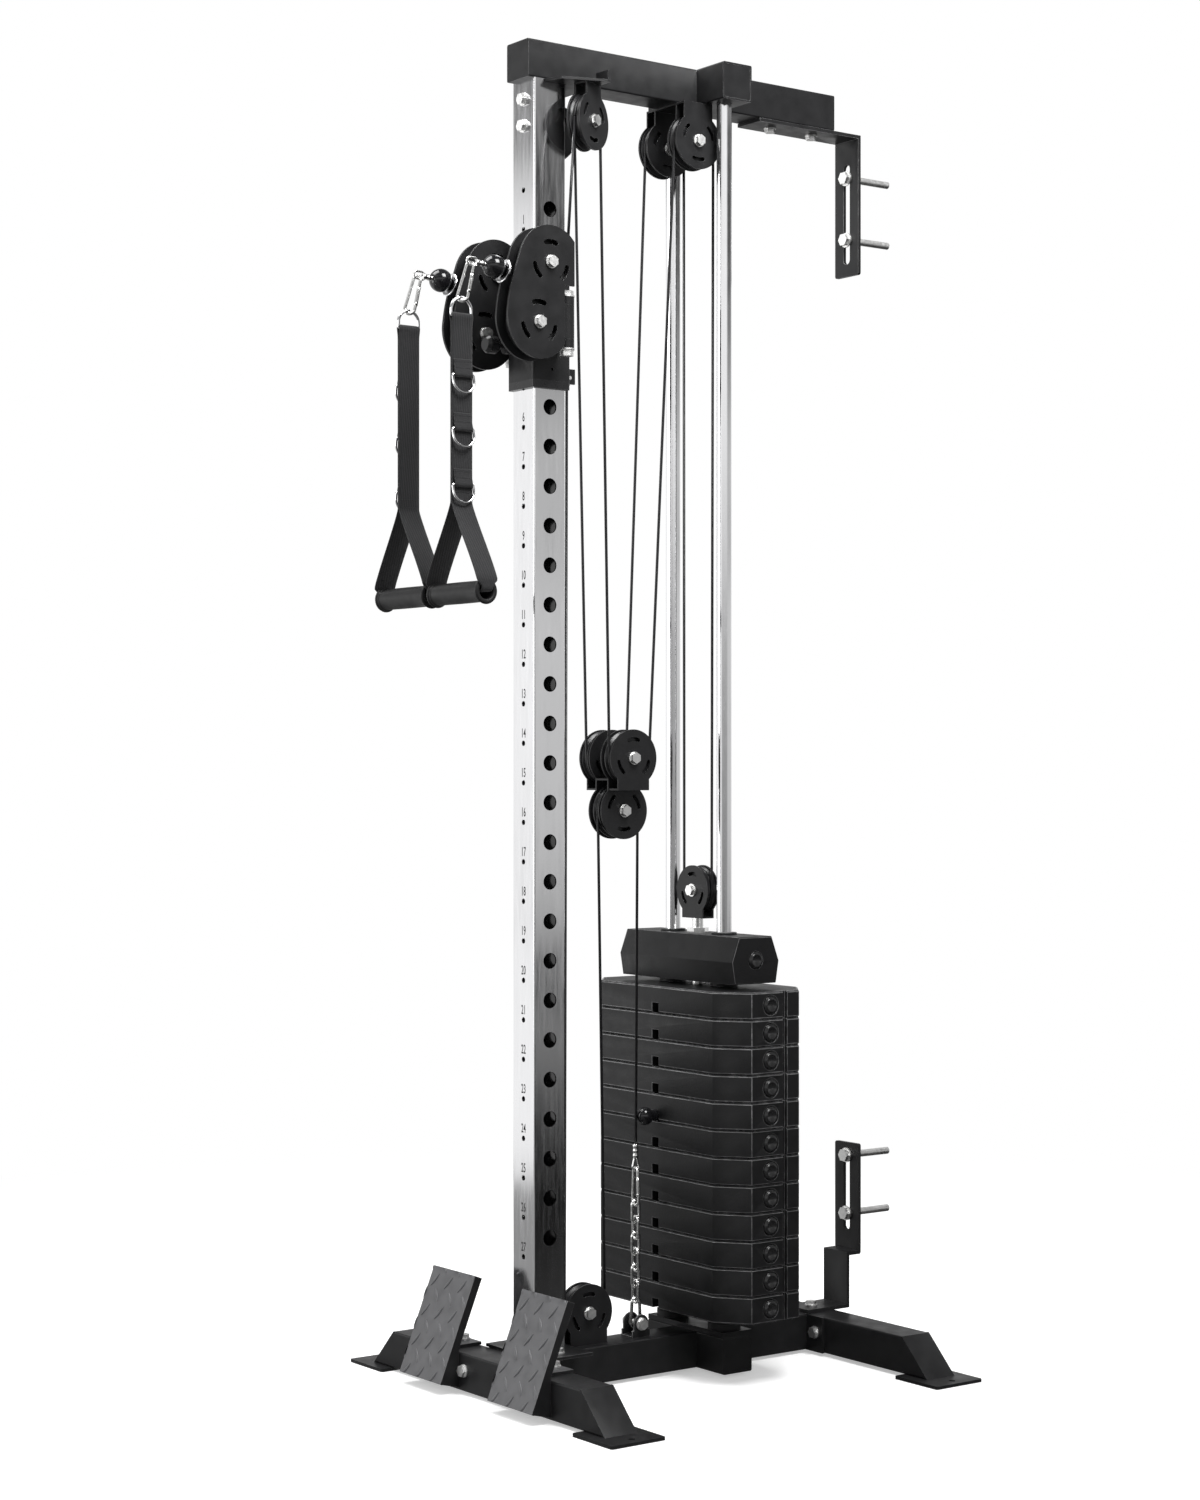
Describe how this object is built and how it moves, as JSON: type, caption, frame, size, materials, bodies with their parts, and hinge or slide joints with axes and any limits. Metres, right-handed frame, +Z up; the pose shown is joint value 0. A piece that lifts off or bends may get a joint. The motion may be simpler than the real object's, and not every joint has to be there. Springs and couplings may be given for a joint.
{
  "type": "cable machine",
  "caption": "Wall-mounted cable machine: sliding twin-pulley carriage on a punched upright, selector weight stack, foot plates and two strap handles.",
  "frame": {"origin": "on the floor, midway across the machine and midway in its depth from the hanging handles to the tips of the wall studs", "axes": "+X to the user's right as they face the wall, +Y towards the wall, +Z up"},
  "size_m": [0.732, 0.9598, 2.135],
  "materials": {
    "black_steel": "fine satin powder coat",
    "chromed_steel": "mirror polished",
    "zinc_steel": "bright zinc plate",
    "pulley_plastic": "moulded nylon, semi-gloss",
    "cable_jacket": "smooth jacket over steel cable",
    "webbing": "woven webbing with stitching",
    "grip_rubber": "soft ribbed rubber",
    "plate_shell": "fine grained shell",
    "tread_plate": "raised lozenge tread"
  },
  "bodies": {
    "root": {"upright": "chromed_steel", "upright_base_plate": "black_steel", "top_beam": "black_steel", "base_spine": "black_steel", "front_foot_beam": "black_steel", "rear_foot_beam": "black_steel", "foot_plates": "tread_plate", "wall_bracket_top": "black_steel", "wall_bracket_bottom": "black_steel", "wall_anchor_bolts": "zinc_steel", "frame_bolts": "zinc_steel", "guide_rods": "chromed_steel", "stack_bumpers": "grip_rubber", "resting_plates": "plate_shell", "front_pulley_mount": "black_steel", "rear_pulley_mount": "black_steel", "base_pulley_mount": "black_steel", "anchor_bracket": "black_steel", "anchor_chain": "zinc_steel", "hinge_cables": "cable_jacket", "block_cables": "cable_jacket", "stack_cables": "cable_jacket", "carriage_cable": "cable_jacket", "low_block_cable": "cable_jacket"},
    "carriage": {"carriage_sleeve": "black_steel", "carriage_liners": "pulley_plastic", "hinge_bolts": "zinc_steel"},
    "lock_pin": {"lock_pin": "pulley_plastic"},
    "swivel_left": {"swivel_left": "black_steel", "swivel_bolts_left": "zinc_steel"},
    "swivel_right": {"swivel_right": "black_steel", "swivel_bolts_right": "zinc_steel"},
    "floating_block": {"floating_block": "black_steel", "block_bolts": "zinc_steel"},
    "lifted_stack": {"picked_plates": "plate_shell", "head_plate": "plate_shell", "selector_stem": "zinc_steel", "stack_pulley_bracket": "black_steel", "stack_pulley_bolt": "zinc_steel"},
    "selector_pin": {"selector_pin": "pulley_plastic"},
    "handle_left": {"handle_link_left": "zinc_steel"},
    "handle_right": {"handle_link_right": "zinc_steel"},
    "strap_left": {"handle_strap_left": "webbing"},
    "strap_right": {"handle_strap_right": "webbing"},
    "grip_left": {"handle_grip_left": "grip_rubber"},
    "grip_right": {"handle_grip_right": "grip_rubber"},
    "front_sheave_left": {"front_sheave_left": "pulley_plastic"},
    "front_sheave_right": {"front_sheave_right": "pulley_plastic"},
    "rear_sheave_left": {"rear_sheave_left": "pulley_plastic"},
    "rear_sheave_right": {"rear_sheave_right": "pulley_plastic"},
    "base_sheave": {"base_sheave": "pulley_plastic"},
    "block_sheave_left": {"block_sheave_left": "pulley_plastic"},
    "block_sheave_right": {"block_sheave_right": "pulley_plastic"},
    "block_sheave_low": {"block_sheave_low": "pulley_plastic"},
    "stack_sheave": {"stack_sheave": "pulley_plastic"},
    "upper_swivel_sheave_left": {"upper_swivel_sheave_left": "pulley_plastic"},
    "upper_swivel_sheave_right": {"upper_swivel_sheave_right": "pulley_plastic"},
    "lower_swivel_sheave_left": {"lower_swivel_sheave_left": "pulley_plastic"},
    "lower_swivel_sheave_right": {"lower_swivel_sheave_right": "pulley_plastic"}
  },
  "joints": [
    {"name": "carriage_height", "type": "slide", "parent": "root", "child": "carriage", "axis": [0, 0, 1], "range_m": [-1.1856, 0.1872], "deforming": ["hinge_cables", "carriage_cable"]},
    {"name": "lock_pin_push", "type": "slide", "parent": "carriage", "child": "lock_pin", "axis": [0, 1, 0], "range_m": [0, 0.012]},
    {"name": "swivel_left_turn", "type": "hinge", "parent": "carriage", "child": "swivel_left", "pos_m": [-0.075, -0.2621, 1.6521], "axis": [0, 0, 1], "range_deg": [-100, 0]},
    {"name": "swivel_right_turn", "type": "hinge", "parent": "carriage", "child": "swivel_right", "pos_m": [0.075, -0.2621, 1.6521], "axis": [0, 0, 1], "range_deg": [0, 100]},
    {"name": "block_travel", "type": "slide", "parent": "root", "child": "floating_block", "axis": [0, 0, 1], "range_m": [-0.095, 0.6], "deforming": ["block_cables", "low_block_cable"]},
    {"name": "stack_lift", "type": "slide", "parent": "root", "child": "lifted_stack", "axis": [0, 0, 1], "range_m": [0, 1], "deforming": ["stack_cables"]},
    {"name": "selector_pin_pull", "type": "slide", "parent": "lifted_stack", "child": "selector_pin", "axis": [0, -1, 0], "range_m": [0, 0.13], "deforming": ["low_block_cable"]},
    {"name": "handle_left_pull", "type": "slide", "parent": "swivel_left", "child": "handle_left", "axis": [0, -1, 0], "range_m": [0, 1]},
    {"name": "strap_left_swing", "type": "hinge", "parent": "handle_left", "child": "strap_left", "pos_m": [-0.075, -0.4591, 1.6995], "axis": [-1, 0, 0], "range_deg": [-5, 75]},
    {"name": "grip_left_spin", "type": "hinge", "parent": "strap_left", "child": "grip_left", "pos_m": [-0.075, -0.4591, 1.2555], "axis": [1, 0, 0], "continuous": true},
    {"name": "handle_right_pull", "type": "slide", "parent": "swivel_right", "child": "handle_right", "axis": [0, -1, 0], "range_m": [0, 1]},
    {"name": "strap_right_swing", "type": "hinge", "parent": "handle_right", "child": "strap_right", "pos_m": [0.075, -0.4591, 1.6995], "axis": [-1, 0, 0], "range_deg": [-5, 75]},
    {"name": "grip_right_spin", "type": "hinge", "parent": "strap_right", "child": "grip_right", "pos_m": [0.075, -0.4591, 1.2555], "axis": [1, 0, 0], "continuous": true},
    {"name": "front_sheave_left_spin", "type": "hinge", "parent": "root", "child": "front_sheave_left", "pos_m": [-0.051, -0.2041, 2.0125], "axis": [0.9135, -0.4067, 0], "continuous": true},
    {"name": "front_sheave_right_spin", "type": "hinge", "parent": "root", "child": "front_sheave_right", "pos_m": [0.051, -0.2041, 2.0125], "axis": [0.9135, 0.4067, 0], "continuous": true},
    {"name": "rear_sheave_left_spin", "type": "hinge", "parent": "root", "child": "rear_sheave_left", "pos_m": [-0.039, 0.0199, 2.0125], "axis": [1, 0, 0], "continuous": true},
    {"name": "rear_sheave_right_spin", "type": "hinge", "parent": "root", "child": "rear_sheave_right", "pos_m": [0.039, 0.0199, 2.0125], "axis": [1, 0, 0], "continuous": true},
    {"name": "base_sheave_spin", "type": "hinge", "parent": "root", "child": "base_sheave", "pos_m": [0, -0.1726, 0.116], "axis": [1, 0, 0], "continuous": true},
    {"name": "block_sheave_left_spin", "type": "hinge", "parent": "floating_block", "child": "block_sheave_left", "pos_m": [-0.031, -0.1064, 1.005], "axis": [1, 0, 0], "continuous": true},
    {"name": "block_sheave_right_spin", "type": "hinge", "parent": "floating_block", "child": "block_sheave_right", "pos_m": [0.031, -0.1064, 1.005], "axis": [1, 0, 0], "continuous": true},
    {"name": "block_sheave_low_spin", "type": "hinge", "parent": "floating_block", "child": "block_sheave_low", "pos_m": [0, -0.1064, 0.92], "axis": [1, 0, 0], "continuous": true},
    {"name": "stack_sheave_spin", "type": "hinge", "parent": "lifted_stack", "child": "stack_sheave", "pos_m": [0, 0.0589, 0.787], "axis": [0, 1, 0], "continuous": true},
    {"name": "upper_swivel_sheave_left_spin", "type": "hinge", "parent": "swivel_left", "child": "upper_swivel_sheave_left", "pos_m": [-0.075, -0.3041, 1.774], "axis": [1, 0, 0], "continuous": true},
    {"name": "upper_swivel_sheave_right_spin", "type": "hinge", "parent": "swivel_right", "child": "upper_swivel_sheave_right", "pos_m": [0.075, -0.3041, 1.774], "axis": [1, 0, 0], "continuous": true},
    {"name": "lower_swivel_sheave_left_spin", "type": "hinge", "parent": "swivel_left", "child": "lower_swivel_sheave_left", "pos_m": [-0.075, -0.3261, 1.679], "axis": [1, 0, 0], "continuous": true},
    {"name": "lower_swivel_sheave_right_spin", "type": "hinge", "parent": "swivel_right", "child": "lower_swivel_sheave_right", "pos_m": [0.075, -0.3261, 1.679], "axis": [1, 0, 0], "continuous": true}
  ],
  "couplings": [
    {"joint": "block_travel", "follows": "carriage_height", "ratio": -0.5},
    {"joint": "base_sheave_spin", "follows": "carriage_height", "rad_per_m": -25},
    {"joint": "block_sheave_low_spin", "follows": "carriage_height", "rad_per_m": 12.5},
    {"joint": "handle_left_pull", "follows": "stack_lift", "ratio": 1},
    {"joint": "handle_right_pull", "follows": "stack_lift", "ratio": 1},
    {"joint": "rear_sheave_left_spin", "follows": "stack_lift", "rad_per_m": 25},
    {"joint": "block_sheave_left_spin", "follows": "stack_lift", "rad_per_m": -25},
    {"joint": "front_sheave_left_spin", "follows": "stack_lift", "rad_per_m": 25},
    {"joint": "upper_swivel_sheave_left_spin", "follows": "stack_lift", "rad_per_m": -23.809},
    {"joint": "rear_sheave_right_spin", "follows": "stack_lift", "rad_per_m": 25},
    {"joint": "block_sheave_right_spin", "follows": "stack_lift", "rad_per_m": -25},
    {"joint": "front_sheave_right_spin", "follows": "stack_lift", "rad_per_m": 25},
    {"joint": "upper_swivel_sheave_right_spin", "follows": "stack_lift", "rad_per_m": -23.809}
  ]
}
